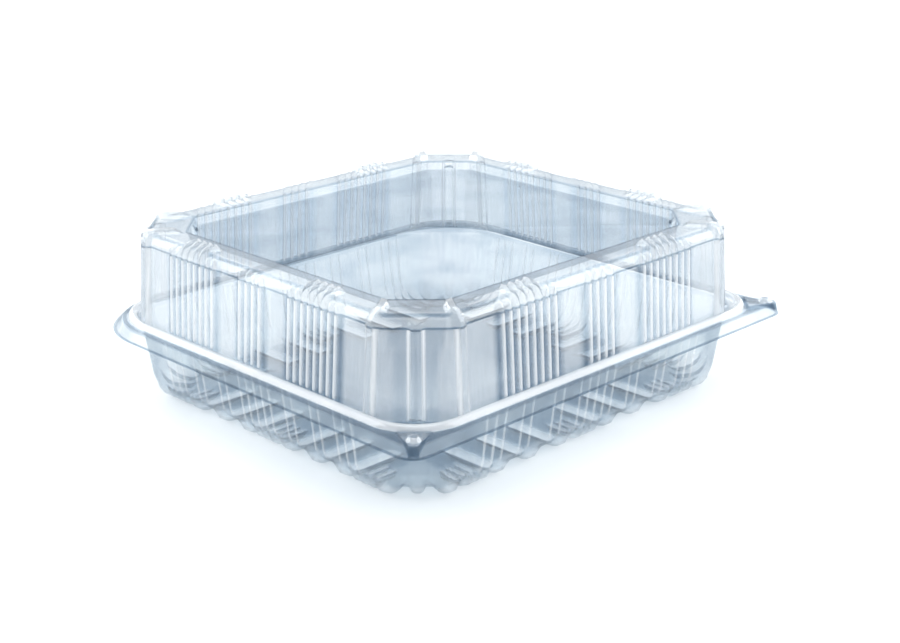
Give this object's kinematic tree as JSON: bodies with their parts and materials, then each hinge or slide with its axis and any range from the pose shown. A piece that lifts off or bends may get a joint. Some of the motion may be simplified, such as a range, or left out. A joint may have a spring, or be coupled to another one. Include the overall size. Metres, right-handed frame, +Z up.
{
  "type": "clear clamshell food pack",
  "caption": "Clear thermoformed clamshell pack with a ribbed octagonal lid, sloping rim with two pointed lift tabs and a shallow ribbed tray on a film hinge.",
  "frame": {"origin": "centre of the pack in plan, at the level of the feet pressed into the tray's floor", "axes": "+X along the hinge line, +Y towards the hinge at the back, +Z up; the lift tabs are at the front, -Y"},
  "size_m": [0.2276, 0.209, 0.0768],
  "materials": {
    "clear_lid": "clear gloss",
    "clear_tray": "clear gloss"
  },
  "bodies": {
    "tray": {"base_tray": "clear_tray", "living_hinge": "clear_tray"},
    "cover": {"lid": "clear_lid"}
  },
  "joints": [
    {"name": "lid_hinge", "type": "hinge", "parent": "tray", "child": "cover", "pos_m": [0, 0.10378, 0.03068], "axis": [-1, 0, 0], "range_deg": [0, 145], "deforming": ["living_hinge"]}
  ]
}
